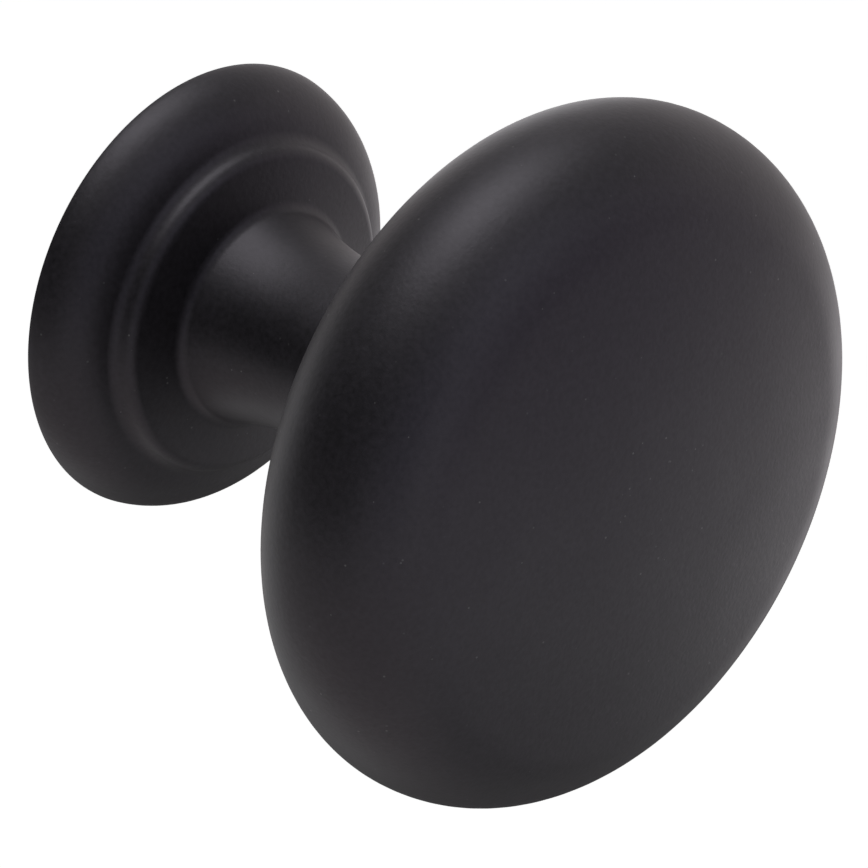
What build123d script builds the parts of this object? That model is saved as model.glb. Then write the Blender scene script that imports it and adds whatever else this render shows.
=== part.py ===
from build123d import *
import os
from math import cos, radians, sin, sqrt, tan

# A round cabinet knob, zinc die-cast in one piece, as it sits on an upright door.
# Millimetres. The back face lies in the plane Y = 0, the head faces -Y and +Z is up.
# The outline is drawn as (radius, height), where height is the distance in front of the door.

# Round flange that bears on the door, one arc from its edge, not quite upright there, to the step's foot
base_radius = 12.5
edge_height = 0.1
edge_slope = 10.0
flange_width = 3.1
flange_round = 3.82

# Step up to the shoulder, which rises a little towards the neck
step_height = 1.0
step_lean = 0.38
step_fillet = 0.95
shoulder_round = 0.85
shoulder_rise = 0.6

# Neck, straight for a short way at the waist, flaring into the head
root_radius = 6.05
neck_fillet = 0.8
waist_radius = 5.0
waist_length = 2.9
flare_radius = 7.0

# Head: a rim of two arcs between a conical underside and a shallow dome
head_radius = 19.0
rim_height = 26.2
rim_back_round = 4.8
rim_front_round = 6.2
underside_slope = 14.0
dome_slope = 14.0

# Recess in the back, around the boss that takes the screw
rim_width = 2.4
boss_radius = 4.2
recess_depth = 1.4
recess_draft = 5.0
recess_fillet = 0.4

# Blind hole for an M4 screw, at its tapping size, with a chamfered mouth
screw_hole_radius = 1.65
screw_hole_depth = 12.0
mouth_radius = 2.0
mouth_angle = 90.0


def rim_point(round_radius, slope):
    """Where the rim's arc has turned to a slope: its radius, and its distance from rim_height."""
    turned = radians(slope)
    return head_radius - round_radius * (1 - sin(turned)), round_radius * cos(turned)


section_plane = Plane(origin=(0, 0, 0), x_dir=(1, 0, 0), z_dir=(0, 0, -1))
back_plane = Plane(origin=(0, 0, 0), x_dir=(1, 0, 0), z_dir=(0, 1, 0))

# The flange's arc is centred here, and ends at the foot of the step, with the shoulder above it
flange_centre_radius = base_radius - flange_round * cos(radians(edge_slope))
flange_centre_height = edge_height - flange_round * sin(radians(edge_slope))
step_radius = base_radius - flange_width
foot_height = flange_centre_height + sqrt(flange_round**2 - (step_radius - flange_centre_radius) ** 2)
shoulder_radius = step_radius - step_lean
shoulder_height = foot_height + step_height
root_height = shoulder_height + shoulder_rise

# The underside is a cone that leaves the rim's back arc, and would meet the waist at flare_height
under_radius, under_drop = rim_point(rim_back_round, underside_slope)
under_height = rim_height - under_drop
flare_height = under_height - (under_radius - waist_radius) * tan(radians(underside_slope))

# The flare's arc takes up this much of the waist below flare_height, and the straight part lies below it
flare_reach = flare_radius * tan(radians(90 - underside_slope) / 2)
waist_height = flare_height - flare_reach - waist_length

# The lower neck is one arc from the shoulder's inner edge, upright where it reaches the waist
neck_flare = root_radius - waist_radius
neck_rise = waist_height - root_height
neck_curve = (neck_flare**2 + neck_rise**2) / (2 * neck_flare)

# The dome is an arc about the axis that leaves the rim's front arc at its own slope
dome_edge_radius, dome_edge_rise = rim_point(rim_front_round, dome_slope)
dome_edge_height = rim_height + dome_edge_rise
dome_radius = dome_edge_radius / sin(radians(dome_slope))
head_height = dome_edge_height + dome_radius * (1 - cos(radians(dome_slope)))

# The recess lies between the flange's bearing rim and the boss
recess_radius = base_radius - rim_width
recess_lean = recess_depth * tan(radians(recess_draft))

with BuildPart() as knob:
    with BuildSketch(section_plane) as section:
        with BuildLine():
            Polyline((0, 0), (base_radius, 0), (base_radius, edge_height))
            RadiusArc((base_radius, edge_height), (step_radius, foot_height), -flange_round)
            Polyline(
                (step_radius, foot_height),
                (shoulder_radius, shoulder_height),
                (root_radius, root_height),
            )
            RadiusArc((root_radius, root_height), (waist_radius, waist_height), neck_curve)
            Polyline(
                (waist_radius, waist_height),
                (waist_radius, flare_height),
                (under_radius, under_height),
            )
            RadiusArc((under_radius, under_height), (head_radius, rim_height), -rim_back_round)
            RadiusArc((head_radius, rim_height), (dome_edge_radius, dome_edge_height), -rim_front_round)
            RadiusArc((dome_edge_radius, dome_edge_height), (0, head_height), -dome_radius)
            Line((0, head_height), (0, 0))
        make_face()

        # Corners as drawn, and the radius that each is rounded to
        corners = {
            (step_radius, foot_height): step_fillet,
            (shoulder_radius, shoulder_height): shoulder_round,
            (root_radius, root_height): neck_fillet,
            (waist_radius, flare_height): flare_radius,
        }
        for corner, radius in corners.items():
            fillet(section.vertices().sort_by_distance(corner)[0], radius)
    revolve(axis=Axis.Y)

    # Recess in the back, with drafted walls so that the casting leaves its die
    with BuildSketch(section_plane) as recess:
        with BuildLine():
            Polyline(
                (boss_radius, 0),
                (boss_radius + recess_lean, recess_depth),
                (recess_radius - recess_lean, recess_depth),
                (recess_radius, 0),
                close=True,
            )
        make_face()
        fillet(recess.vertices().group_by(Axis.Y)[-1], recess_fillet)
    revolve(axis=Axis.Y, mode=Mode.SUBTRACT)

    # Screw hole from the back, through the boss and up the neck
    with Locations(back_plane):
        CounterSinkHole(screw_hole_radius, mouth_radius, screw_hole_depth, mouth_angle)

knob.part.label = "knob"
os.makedirs("parts", exist_ok=True)
export_step(knob.part, "parts/knob.step")
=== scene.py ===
from math import cos, pi, radians, sin, sqrt, tan

import bpy
import numpy as np
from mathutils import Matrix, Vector


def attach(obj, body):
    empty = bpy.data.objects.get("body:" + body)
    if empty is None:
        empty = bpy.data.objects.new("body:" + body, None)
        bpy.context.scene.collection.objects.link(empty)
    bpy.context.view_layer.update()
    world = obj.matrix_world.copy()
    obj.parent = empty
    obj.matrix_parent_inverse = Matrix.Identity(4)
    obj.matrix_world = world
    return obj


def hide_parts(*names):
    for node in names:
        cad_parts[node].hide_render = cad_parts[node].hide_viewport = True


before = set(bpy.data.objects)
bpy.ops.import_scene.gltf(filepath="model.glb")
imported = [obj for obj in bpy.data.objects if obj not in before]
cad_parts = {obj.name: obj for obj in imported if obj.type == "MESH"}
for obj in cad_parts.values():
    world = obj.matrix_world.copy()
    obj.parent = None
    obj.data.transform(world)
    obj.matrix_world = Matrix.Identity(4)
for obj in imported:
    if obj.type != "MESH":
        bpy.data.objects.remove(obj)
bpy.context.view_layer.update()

# Casting
# One zinc die-casting with its flange, stepped shoulder, waisted neck and mushroom head all in one,
# round about the axis of its screw. It is linished and tumbled smooth before it is coated, so that
# no parting line shows, and only the recess in its back is left as it came from the die.
mm = 0.001

# Flange, and the step up to its shoulder
base_radius, edge_height, edge_slope = 12.5, 0.1, radians(10)
flange_width, flange_round = 3.1, 3.82
step_height, step_lean, step_fillet = 1.0, 0.38, 0.95
shoulder_rise, shoulder_round = 0.6, 0.85

# Neck and head
root_radius, neck_fillet = 6.05, 0.8
waist_radius, waist_length, flare_radius = 5.0, 2.9, 7.0
head_radius, rim_height, rim_back_round, rim_front_round = 19.0, 26.2, 4.8, 6.2
underside_slope, dome_slope = radians(14), radians(14)

# Back, with the bore at the thread's outer size
rim_width, boss_radius = 2.4, 4.2
recess_depth, recess_draft, recess_fillet = 1.4, radians(5), 0.4
bore_radius, bore_depth = 2.0, 12.0

# How closely the outline's points lie as drawn, and the longest step and sharpest turn in the mesh
point_spacing = 0.005
longest_step, sharpest_turn = 0.55, radians(4)


def straight(start, end):
    """A straight stretch of the outline, as closely spaced (radius, height) points."""
    start, end = np.array(start), np.array(end)
    count = int(np.hypot(*(end - start)) / point_spacing) + 2
    return start + (end - start) * np.linspace(0, 1, count)[:, None]


def arc(start, end, radius):
    """A stretch on a circle, which swells out of the metal, or into it where the radius is negative."""
    start, end = np.array(start), np.array(end)
    half = (end - start) / 2
    inward = np.array((-half[1], half[0])) / np.hypot(*half)
    centre = start + half + inward * np.sign(radius) * sqrt(radius**2 - half @ half)
    first = np.arctan2(*(start - centre)[::-1])
    turn = np.arctan2(*(end - centre)[::-1]) - first
    turn = (turn + pi) % (2 * pi) - pi
    angles = first + turn * np.linspace(0, 1, int(abs(turn * radius) / point_spacing) + 2)
    return centre + abs(radius) * np.stack((np.cos(angles), np.sin(angles)), axis=1)


def directions(stretch):
    """The unit direction of travel at each point of a stretch."""
    along = np.gradient(stretch, axis=0)
    return along / np.hypot(*along.T)[:, None]


def rounded(first, second, radius):
    """Two stretches that meet in a corner, each cut back, with an arc between that touches both."""
    along_first, along_second = directions(first), directions(second)
    side = np.sign(np.cross(along_first[-1], along_second[0]))
    centres_first = first + side * radius * np.stack((-along_first[:, 1], along_first[:, 0]), axis=1)
    centres_second = second + side * radius * np.stack((-along_second[:, 1], along_second[:, 0]), axis=1)
    apart = np.hypot(*(centres_first[:, None] - centres_second).transpose(2, 0, 1))
    i, j = np.unravel_index(apart.argmin(), apart.shape)
    return first[: i + 1], arc(first[i], second[j], side * radius), second[j:]


def spaced(stretch):
    """A stretch with only as many points as its length and its bend need."""
    legs = np.diff(stretch, axis=0)
    turning = np.diff(np.unwrap(np.arctan2(legs[:, 1], legs[:, 0])))
    count = max(np.hypot(*legs.T).sum() / longest_step, np.abs(turning).sum() / sharpest_turn)
    return stretch[np.linspace(0, len(stretch) - 1, int(count) + 2).round().astype(int)]


# The flange's crown is one arc from its edge to the foot of the step, with the shoulder above that
step_radius = base_radius - flange_width
flange_centre_radius = base_radius - flange_round * cos(edge_slope)
flange_centre_height = edge_height - flange_round * sin(edge_slope)
foot_height = flange_centre_height + sqrt(flange_round**2 - (step_radius - flange_centre_radius) ** 2)
shoulder_radius, shoulder_height = step_radius - step_lean, foot_height + step_height
root_height = shoulder_height + shoulder_rise

# The underside's cone leaves the rim's back arc, and the lower neck's arc is upright at the waist
under_radius = head_radius - rim_back_round * (1 - sin(underside_slope))
under_height = rim_height - rim_back_round * cos(underside_slope)
flare_height = under_height - (under_radius - waist_radius) * tan(underside_slope)
waist_height = flare_height - flare_radius * tan((pi / 2 - underside_slope) / 2) - waist_length
neck_flare, neck_rise = root_radius - waist_radius, waist_height - root_height
neck_curve = (neck_flare**2 + neck_rise**2) / (2 * neck_flare)

# The dome is an arc about the axis that leaves the rim's front arc at its own slope
dome_edge_radius = head_radius - rim_front_round * (1 - sin(dome_slope))
dome_edge_height = rim_height + rim_front_round * cos(dome_slope)
dome_radius = dome_edge_radius / sin(dome_slope)
head_height = dome_edge_height + dome_radius * (1 - cos(dome_slope))

# The outline runs from the floor of the bore round the back, up the outside and over the dome
recess_radius, recess_lean = base_radius - rim_width, recess_depth * tan(recess_draft)
boss_foot = (boss_radius + recess_lean, recess_depth)
recess_edge = (recess_radius - recess_lean, recess_depth)
boss_wall, boss_fillet, recess_floor = rounded(
    straight((boss_radius, 0), boss_foot), straight(boss_foot, recess_edge), recess_fillet)
recess_floor, edge_fillet, recess_wall = rounded(
    recess_floor, straight(recess_edge, (recess_radius, 0)), recess_fillet)
flange, step_foot, step = rounded(
    arc((base_radius, edge_height), (step_radius, foot_height), flange_round),
    straight((step_radius, foot_height), (shoulder_radius, shoulder_height)), step_fillet)
step, bead, shoulder = rounded(
    step, straight((shoulder_radius, shoulder_height), (root_radius, root_height)), shoulder_round)
shoulder, neck_foot, neck = rounded(
    shoulder, arc((root_radius, root_height), (waist_radius, waist_height), -neck_curve), neck_fillet)
waist, flare, underside = rounded(
    straight((waist_radius, waist_height), (waist_radius, flare_height)),
    straight((waist_radius, flare_height), (under_radius, under_height)), flare_radius)
stretches = (
    straight((0, bore_depth), (bore_radius, bore_depth)),
    straight((bore_radius, bore_depth), (bore_radius, 0)),
    straight((bore_radius, 0), (boss_radius, 0)),
    boss_wall, boss_fillet, recess_floor, edge_fillet, recess_wall,
    straight((recess_radius, 0), (base_radius, 0)),
    straight((base_radius, 0), (base_radius, edge_height)),
    flange, step_foot, step, bead, shoulder, neck_foot, neck, waist, flare, underside,
    arc((under_radius, under_height), (head_radius, rim_height), rim_back_round),
    arc((head_radius, rim_height), (dome_edge_radius, dome_edge_height), rim_front_round),
    arc((dome_edge_radius, dome_edge_height), (0, head_height), dome_radius),
)
outline = [(0, bore_depth)]
for stretch in stretches:
    outline.extend(spaced(stretch)[1:])


def node(tree, kind, inputs=(), **settings):
    """A node added to a tree, with its settings, and a value or another node's output for each input."""
    made = tree.nodes.new(kind)
    for name, value in settings.items():
        setattr(made, name, value)
    for name, value in dict(inputs).items():
        if isinstance(value, bpy.types.NodeSocket):
            tree.links.new(value, made.inputs[name])
        else:
            made.inputs[name].default_value = value
    return made


def worked_out(tree, operation, *values):
    """The outcome of one step of arithmetic on values or outputs."""
    return node(tree, "ShaderNodeMath", dict(enumerate(values)), operation=operation).outputs[0]


def from_axis(tree, place):
    """How far a place lies from the axis of the screw."""
    flat = node(tree, "ShaderNodeVectorMath", {0: place, 1: (1, 0, 1)}, operation="MULTIPLY")
    return node(tree, "ShaderNodeVectorMath", {0: flat.outputs[0]}, operation="LENGTH").outputs["Value"]


def from_door(tree, place):
    """How far a place lies in front of the door."""
    return worked_out(tree, "MULTIPLY", node(tree, "ShaderNodeSeparateXYZ", {0: place}).outputs["Y"], -1)


def clouds(tree, place, size, detail):
    """An uneven pattern of soft spots of a given size."""
    return node(tree, "ShaderNodeTexNoise", {
        "Vector": place, "Scale": 1 / size, "Detail": detail}).outputs["Fac"]


def body_tree(name, sizes):
    """An empty Geometry Nodes tree that takes a mesh, named sizes and a finish, with its end nodes."""
    tree = bpy.data.node_groups.new(name, "GeometryNodeTree")
    tree.interface.new_socket("Geometry", in_out="OUTPUT", socket_type="NodeSocketGeometry")
    tree.interface.new_socket("Geometry", in_out="INPUT", socket_type="NodeSocketGeometry")
    for size, socket in sizes.items():
        tree.interface.new_socket(size, in_out="INPUT", socket_type=socket)
    tree.interface.new_socket("Finish", in_out="INPUT", socket_type="NodeSocketMaterial")
    return tree, tree.nodes.new("NodeGroupInput").outputs, tree.nodes.new("NodeGroupOutput")


def finished(tree, given, result, shape, bare=None):
    """Ends a tree: the shape is made real and gets its finish, or bare metal on the faces left bare."""
    real = node(tree, "GeometryNodeRealizeInstances", {"Geometry": shape})
    last = node(tree, "GeometryNodeSetMaterial", {
        "Geometry": real.outputs[0], "Material": given["Finish"]})
    if bare is not None:
        last = node(tree, "GeometryNodeSetMaterial", {
            "Geometry": last.outputs[0], "Selection": bare, "Material": given["Bare metal"]})
    tree.links.new(last.outputs[0], result.inputs[0])


def made_solid(name, start, tree, sizes):
    """The plain mesh that a tree makes of a starting mesh, as an object of its own."""
    blank = bpy.data.objects.new(name + "_blank", start)
    bpy.context.collection.objects.link(blank)
    maker = blank.modifiers.new("maker", "NODES")
    maker.node_group = tree
    for socket in tree.interface.items_tree:
        if socket.in_out == "INPUT" and socket.name in sizes:
            maker[socket.identifier] = sizes[socket.name]
    shown = blank.evaluated_get(bpy.context.evaluated_depsgraph_get())
    mesh = bpy.data.meshes.new_from_object(shown)
    # The starting mesh has no finish, which leaves an empty slot before the tree's own
    if mesh.materials[0] is None:
        mesh.materials.pop(index=0)
    solid = bpy.data.objects.new(name, mesh)
    bpy.context.collection.objects.link(solid)
    bpy.data.objects.remove(blank)
    return solid


# Satin black coat, matt enough to spread every reflection, with the fine peel of a sprayed finish, a
# drier skin over the rough metal of the recess, and many small pale grains of dust
deep_black, faded_black = (0.0034, 0.0031, 0.0038, 1), (0.0106, 0.0095, 0.0118, 1)
mottle_size = 0.3 * mm
dust_grey, dust_cell, dust_size = (0.07, 0.07, 0.07, 1), 0.65 * mm, 0.06 * mm
dusty_share, dust_faintness = 0.6, 4
shiniest, dullest, patch_size = 0.46, 0.50, 4 * mm
peel_size, peel_depth = 0.25 * mm, 0.009 * mm
recess_dullness, recess_margin = 0.12, 0.05
skin_size, skin_depth = 0.7 * mm, 0.15 * mm
cloud_low, cloud_high = 0.3, 0.7

coat = bpy.data.materials.new("satin black coat")
coat.use_nodes = True
paint = coat.node_tree
shader = paint.nodes["Principled BSDF"]
shader.inputs["IOR"].default_value = 1.475
shader.inputs["Specular Tint"].default_value = (0.95, 0.90, 1, 1)
place = node(paint, "ShaderNodeTexCoord").outputs["Object"]

# Some cells of the coat hold a round grain, and most grains are faint
cells = node(paint, "ShaderNodeTexVoronoi", {"Vector": place, "Scale": 1 / dust_cell}).outputs
cell_draw = node(paint, "ShaderNodeSeparateColor", {"Color": cells["Color"]}).outputs
on_grain = worked_out(paint, "LESS_THAN", cells["Distance"], dust_size / dust_cell)
is_dusty = worked_out(paint, "LESS_THAN", cell_draw[0], dusty_share)
dust = worked_out(paint, "MULTIPLY", on_grain, is_dusty)
dust = worked_out(paint, "MULTIPLY", dust, worked_out(paint, "POWER", cell_draw[1], dust_faintness))
fading = node(paint, "ShaderNodeMapRange", {
    "Value": clouds(paint, place, mottle_size, detail=4),
    "From Min": cloud_low, "From Max": cloud_high}).outputs[0]
mottled = node(paint, "ShaderNodeMixRGB", {"Fac": fading, "Color1": deep_black, "Color2": faded_black})
dusted = node(paint, "ShaderNodeMixRGB", {
    "Fac": dust, "Color1": mottled.outputs[0], "Color2": dust_grey})
paint.links.new(dusted.outputs[0], shader.inputs["Base Color"])

# Inside the recess's edge, and no deeper than its floor, the coat is drier and follows the cast skin
within_edge = worked_out(paint, "LESS_THAN", from_axis(paint, place), recess_radius * mm)
above_floor = worked_out(paint, "LESS_THAN", from_door(paint, place), (recess_depth + recess_margin) * mm)
recessed = worked_out(paint, "MULTIPLY", within_edge, above_floor)
sheen = node(paint, "ShaderNodeMapRange", {
    "Value": clouds(paint, place, patch_size, detail=3), "From Min": cloud_low, "From Max": cloud_high,
    "To Min": shiniest, "To Max": dullest}).outputs[0]
roughness = worked_out(paint, "MULTIPLY_ADD", recessed, recess_dullness, sheen)
paint.links.new(roughness, shader.inputs["Roughness"])
peel = node(paint, "ShaderNodeBump", {
    "Height": clouds(paint, place, peel_size, detail=2), "Distance": peel_depth})
cast_skin = worked_out(paint, "MULTIPLY", clouds(paint, place, skin_size, detail=4), recessed)
surface = node(paint, "ShaderNodeBump", {
    "Height": cast_skin, "Distance": skin_depth, "Normal": peel.outputs[0]})
paint.links.new(surface.outputs[0], shader.inputs["Normal"])

# Bare zinc where the screw's thread is tapped, after the coat
zinc_grey, cut_size, brightest_cut, dullest_cut = (0.56, 0.57, 0.59, 1), 0.3 * mm, 0.28, 0.5
bare_zinc = bpy.data.materials.new("tapped zinc")
bare_zinc.use_nodes = True
metal = bare_zinc.node_tree
zinc = metal.nodes["Principled BSDF"]
zinc.inputs["Base Color"].default_value = zinc_grey
zinc.inputs["Metallic"].default_value = 1
tool_marks = clouds(metal, node(metal, "ShaderNodeTexCoord").outputs["Object"], cut_size, detail=3)
dulled = node(metal, "ShaderNodeMapRange", {
    "Value": tool_marks, "To Min": brightest_cut, "To Max": dullest_cut}).outputs[0]
metal.links.new(dulled, zinc.inputs["Roughness"])

# Lathe: the outline's points are the rows of a sheet, which is wrapped round the axis and closed
steps_round, sharp_edge, weld, bore_margin = 240, radians(30), 0.001 * mm, 0.1 * mm
lathe, given, result = body_tree("turned body", {
    "Steps round": "NodeSocketInt", "Sharp edge": "NodeSocketFloat", "Bore radius": "NodeSocketFloat",
    "Bore depth": "NodeSocketFloat", "Bare metal": "NodeSocketMaterial"})
points = node(lathe, "GeometryNodeAttributeDomainSize", {"Geometry": given["Geometry"]})
rows = points.outputs["Point Count"]
columns = worked_out(lathe, "ADD", given["Steps round"], 1)
sheet = node(lathe, "GeometryNodeMeshGrid", {"Vertices X": columns, "Vertices Y": rows})
index = node(lathe, "GeometryNodeInputIndex").outputs[0]
column = worked_out(lathe, "FLOOR", worked_out(lathe, "DIVIDE", index, rows))
row = worked_out(lathe, "MODULO", index, rows)
position = node(lathe, "GeometryNodeInputPosition").outputs[0]
point = node(lathe, "GeometryNodeSampleIndex", {"Geometry": given["Geometry"], "Index": row},
             data_type="FLOAT_VECTOR")
lathe.links.new(position, point.inputs["Value"])
whole_turns = worked_out(lathe, "DIVIDE", column, given["Steps round"])
angle = worked_out(lathe, "MULTIPLY", whole_turns, -2 * pi)
turned = node(lathe, "ShaderNodeVectorRotate", {"Vector": point.outputs[0], "Angle": angle},
              rotation_type="Y_AXIS").outputs[0]
wrapped = node(lathe, "GeometryNodeSetPosition", {"Geometry": sheet.outputs["Mesh"], "Position": turned})
closed = node(lathe, "GeometryNodeMergeByDistance", {"Geometry": wrapped.outputs[0], "Distance": weld})
smooth = node(lathe, "GeometryNodeSetShadeSmooth", {"Geometry": closed.outputs[0], "Shade Smooth": True})
fold = node(lathe, "GeometryNodeInputMeshEdgeAngle").outputs["Unsigned Angle"]
sharp = worked_out(lathe, "GREATER_THAN", fold, given["Sharp edge"])
creased = node(lathe, "GeometryNodeSetShadeSmooth",
               {"Geometry": smooth.outputs[0], "Selection": sharp, "Shade Smooth": False}, domain="EDGE")

# The faces of the bore stay bare: near the axis, and no further from the door than its floor
near_axis = worked_out(lathe, "LESS_THAN", from_axis(lathe, position), given["Bore radius"])
past_floor = worked_out(lathe, "ADD", given["Bore depth"], bore_margin)
behind_floor = worked_out(lathe, "LESS_THAN", from_door(lathe, position), past_floor)
tapped = worked_out(lathe, "MULTIPLY", near_axis, behind_floor)
finished(lathe, given, result, creased.outputs[0], bare=tapped)

start = bpy.data.meshes.new("outline")
start.from_pydata([(radius * mm, -height * mm, 0) for radius, height in outline], [], [])
casting = made_solid("casting", start, lathe, {
    "Steps round": steps_round, "Sharp edge": sharp_edge, "Bore radius": bore_radius * mm,
    "Bore depth": bore_depth * mm, "Finish": coat, "Bare metal": bare_zinc})
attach(casting, "root")
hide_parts("knob")

# Screw thread
# The M4 thread tapped up the middle of the neck for the machine screw. It is cut after coating, so its
# flanks are bare zinc. A ridge of the thread's own section follows a helix round the bore's wall.
pitch, thread_start, thread_length, crest_radius = 0.7, 0.45, 10.5, 1.65
crest_width, flank_slope, sunk = 0.175, radians(30), 0.06
steps_per_turn = 40
turns = thread_length / pitch
ridge_height = bore_radius + sunk - crest_radius
ridge_width = crest_width + 2 * ridge_height * tan(flank_slope)

helix, given, result = body_tree("helical ridge", {
    "Turns": "NodeSocketFloat", "Radius": "NodeSocketFloat", "Length": "NodeSocketFloat",
    "Start": "NodeSocketVector", "Steps per turn": "NodeSocketInt"})
path = node(helix, "GeometryNodeCurveSpiral", {
    "Resolution": given["Steps per turn"], "Rotations": given["Turns"], "Height": given["Length"],
    "Start Radius": given["Radius"], "End Radius": given["Radius"]})
upright = node(helix, "GeometryNodeSetCurveNormal", {"Curve": path.outputs[0]}, mode="Z_UP")

# The ridge grows from nothing over its first turn, and runs out over its last
along = node(helix, "GeometryNodeSplineParameter").outputs["Factor"]
from_end = worked_out(helix, "SUBTRACT", 1, along)
nearest_end = worked_out(helix, "MINIMUM", along, from_end)
run_in = node(helix, "ShaderNodeMath", {0: nearest_end, 1: given["Turns"]},
              operation="MULTIPLY", use_clamp=True)
profile = node(helix, "GeometryNodeMeshToCurve", {0: given["Geometry"]})
ridge = node(helix, "GeometryNodeCurveToMesh", {
    "Curve": upright.outputs[0], "Profile Curve": profile.outputs[0], "Scale": run_in.outputs[0],
    "Fill Caps": True})
laid = node(helix, "GeometryNodeTransform", {
    "Geometry": ridge.outputs[0], "Translation": given["Start"], "Rotation": (pi / 2, 0, 0)})
finished(helix, given, result, laid.outputs[0])

section = bpy.data.meshes.new("thread_section")
half_crest, half_ridge = crest_width / 2 * mm, ridge_width / 2 * mm
section.from_pydata([(0, half_ridge, 0), (0, -half_ridge, 0), (ridge_height * mm, -half_crest, 0),
                     (ridge_height * mm, half_crest, 0)], [(0, 1), (1, 2), (2, 3), (3, 0)], [])
thread = made_solid("screw_thread", section, helix, {
    "Turns": turns, "Radius": (bore_radius + sunk) * mm, "Length": thread_length * mm,
    "Start": (0, -thread_start * mm, 0), "Steps per turn": steps_per_turn, "Finish": bare_zinc})
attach(thread, "root")

# Camera
# It stands on the left of the knob and above it, and looks down on the face of the head.
stand = Vector((-209.88, -225.03, 163.91)) * mm
aim = Vector((-0.06, -17.61, -2.13)) * mm
camera = bpy.data.objects.new("camera", bpy.data.cameras.new("camera"))
bpy.context.collection.objects.link(camera)
camera.location = stand
camera.rotation_euler = (aim - stand).to_track_quat("-Z", "Y").to_euler()
camera.data.lens = 269.59
camera.data.sensor_width = 36
camera.data.clip_start = 0.01
bpy.context.scene.camera = camera

# Studio
# White surround and floor, one softbox overhead, and cards that show only in the coat's reflections:
# dark ones on the left, high all round and low at the back, grey ones on the right and below, bright
# ones in front, low on the right and behind, and a small dark one at the camera.
centre = Vector((0, -17 * mm, 0))


def way(azimuth, elevation):
    """The direction from the knob, in degrees: azimuth 0 is out of the door and 90 to the right."""
    azimuth, elevation = radians(azimuth), radians(elevation)
    return Vector((sin(azimuth) * cos(elevation), -cos(azimuth) * cos(elevation), sin(elevation)))


def seen_ray(tree):
    """1 for the rays that show the surround as it is, in the picture and reflections, or else 0."""
    ray = node(tree, "ShaderNodeLightPath").outputs
    seen = worked_out(tree, "MAXIMUM", ray["Is Camera Ray"], ray["Is Glossy Ray"])
    return worked_out(tree, "MAXIMUM", seen, ray["Is Transmission Ray"])


def card(name, azimuths, elevations, tone, away):
    """A card with feathered edges, bent round the knob between two azimuths and two elevations."""
    feather, step = 6, 3
    low, high = elevations[0] - feather, min(elevations[1] + feather, 90)
    whole_ring = azimuths[1] - azimuths[0] == 360
    left, right = azimuths if whole_ring else (azimuths[0] - feather, azimuths[1] + feather)
    across, up = int((right - left) / step) + 1, int((high - low) / step) + 1
    places = [(azimuth, elevation) for elevation in np.linspace(low, high, up + 1)
              for azimuth in np.linspace(left, right, across + 1)]
    corners = [i + j * (across + 1) for j in range(up) for i in range(across)]
    faces = [(corner, corner + 1, corner + across + 2, corner + across + 1) for corner in corners]
    mesh = bpy.data.meshes.new(name)
    mesh.from_pydata([centre + away * way(*place) for place in places], [], faces)
    cover = mesh.attributes.new("cover", "FLOAT", "POINT")
    for i, (azimuth, elevation) in enumerate(places):
        inside = min(elevation - low, elevations[1] + feather - elevation)
        if not whole_ring:
            inside = min(inside, azimuth - left, right - azimuth)
        cover.data[i].value = min(max(inside / (2 * feather), 0), 1)
    made = bpy.data.objects.new(name, mesh)
    bpy.context.collection.objects.link(made)
    paper = bpy.data.materials.new(name)
    paper.use_nodes = True
    sheet = paper.node_tree
    light = node(sheet, "ShaderNodeEmission", {"Color": (*tone, 1)})
    gone = node(sheet, "ShaderNodeBsdfTransparent")
    covered = node(sheet, "ShaderNodeAttribute", attribute_name="cover")
    edge = node(sheet, "ShaderNodeMixShader", {
        0: covered.outputs["Fac"], 1: gone.outputs[0], 2: light.outputs[0]})
    sheet.links.new(edge.outputs[0], sheet.nodes["Material Output"].inputs["Surface"])
    mesh.materials.append(paper)
    made.visible_camera = made.visible_diffuse = False
    made.visible_shadow = made.visible_transmission = False


# Each card stands a little nearer than the one before, so it covers that one where they meet
card("black_skirt", (-180, 180), (5, 80), (0.30, 0.30, 0.30), 0.60)
card("black_flag", (-145, -65), (-15, 45), (0.01, 0.01, 0.01), 0.59)
card("front_fill", (-20, 30), (0, 55), (1.25, 1.25, 1.40), 0.58)
card("camera_card", (-50, -30), (-10, 35), (0.23, 0.22, 0.36), 0.57)
card("front_card", (-5, 65), (-20, 30), (0.43, 0.38, 0.48), 0.56)
card("grey_card", (55, 175), (-30, 30), (0.86, 0.80, 0.80), 0.55)
card("bright_card", (80, 125), (-55, -20), (2.35, 2.25, 2.30), 0.54)
card("dark_card_below", (0, 180), (-90, -40), (0.25, 0.25, 0.25), 0.53)
card("grey_card_below", (-150, -10), (-90, -25), (0.70, 0.65, 0.65), 0.52)
card("back_card", (130, 150), (-20, 20), (2.05, 2.00, 2.05), 0.51)
card("low_card", (105, 155), (-70, -25), (0.07, 0.07, 0.07), 0.50)

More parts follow.
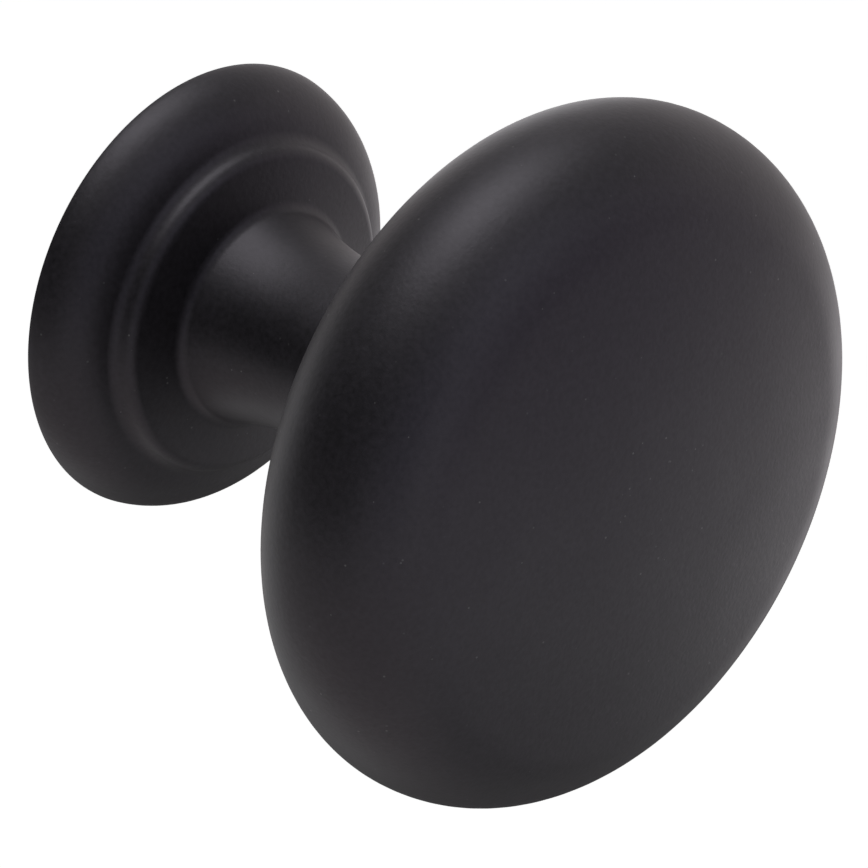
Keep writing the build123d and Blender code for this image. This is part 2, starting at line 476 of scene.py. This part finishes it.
box_way, box_away = way(180, 80), 0.49
box_length, box_width, box_radiance = 0.457, 0.209, 4.5
softbox = bpy.data.objects.new("softbox", bpy.data.lights.new("softbox", "AREA"))
bpy.context.collection.objects.link(softbox)
softbox.data.shape = "RECTANGLE"
softbox.data.size, softbox.data.size_y = box_length, box_width
softbox.data.energy = box_radiance * pi * box_length * box_width
softbox.location = centre + box_away * box_way
softbox.rotation_euler = (-box_way).to_track_quat("-Z", "Y").to_euler()
softbox.visible_camera = False

# The surround lights the knob's own colours at half the strength at which it shows
surround_shown, surround_light = 1.0, 0.5
world = bpy.context.scene.world or bpy.data.worlds.new("studio")
bpy.context.scene.world = world
world.use_nodes = True
backdrop = world.node_tree.nodes["Background"]
backdrop.inputs["Color"].default_value = (1, 1, 1, 1)
level = node(world.node_tree, "ShaderNodeMapRange", {
    "Value": seen_ray(world.node_tree), "To Min": surround_light, "To Max": surround_shown}).outputs[0]
world.node_tree.links.new(level, backdrop.inputs["Strength"])

# The floor takes the knob's shadow, shows white, and is clear from below
floor_size, floor_height, floor_grey, floor_lift = 12, -0.65, (0.85, 0.85, 0.85, 1), 0.57
bpy.ops.mesh.primitive_plane_add(size=floor_size, location=(0, 0, floor_height))
floor = bpy.context.object
floor.name = "floor"
pale = bpy.data.materials.new("pale floor")
pale.use_nodes = True
ground = pale.node_tree
matt = node(ground, "ShaderNodeBsdfDiffuse", {"Color": floor_grey})
glow = node(ground, "ShaderNodeEmission", {
    "Strength": worked_out(ground, "MULTIPLY", seen_ray(ground), floor_lift)})
lit = node(ground, "ShaderNodeAddShader", {0: matt.outputs[0], 1: glow.outputs[0]})
clear = node(ground, "ShaderNodeBsdfTransparent")
below = node(ground, "ShaderNodeNewGeometry").outputs["Backfacing"]
one_sided = node(ground, "ShaderNodeMixShader", {0: below, 1: lit.outputs[0], 2: clear.outputs[0]})
ground.links.new(one_sided.outputs[0], ground.nodes["Material Output"].inputs["Surface"])
floor.data.materials.append(pale)
bpy.context.scene.view_settings.view_transform = "Standard"
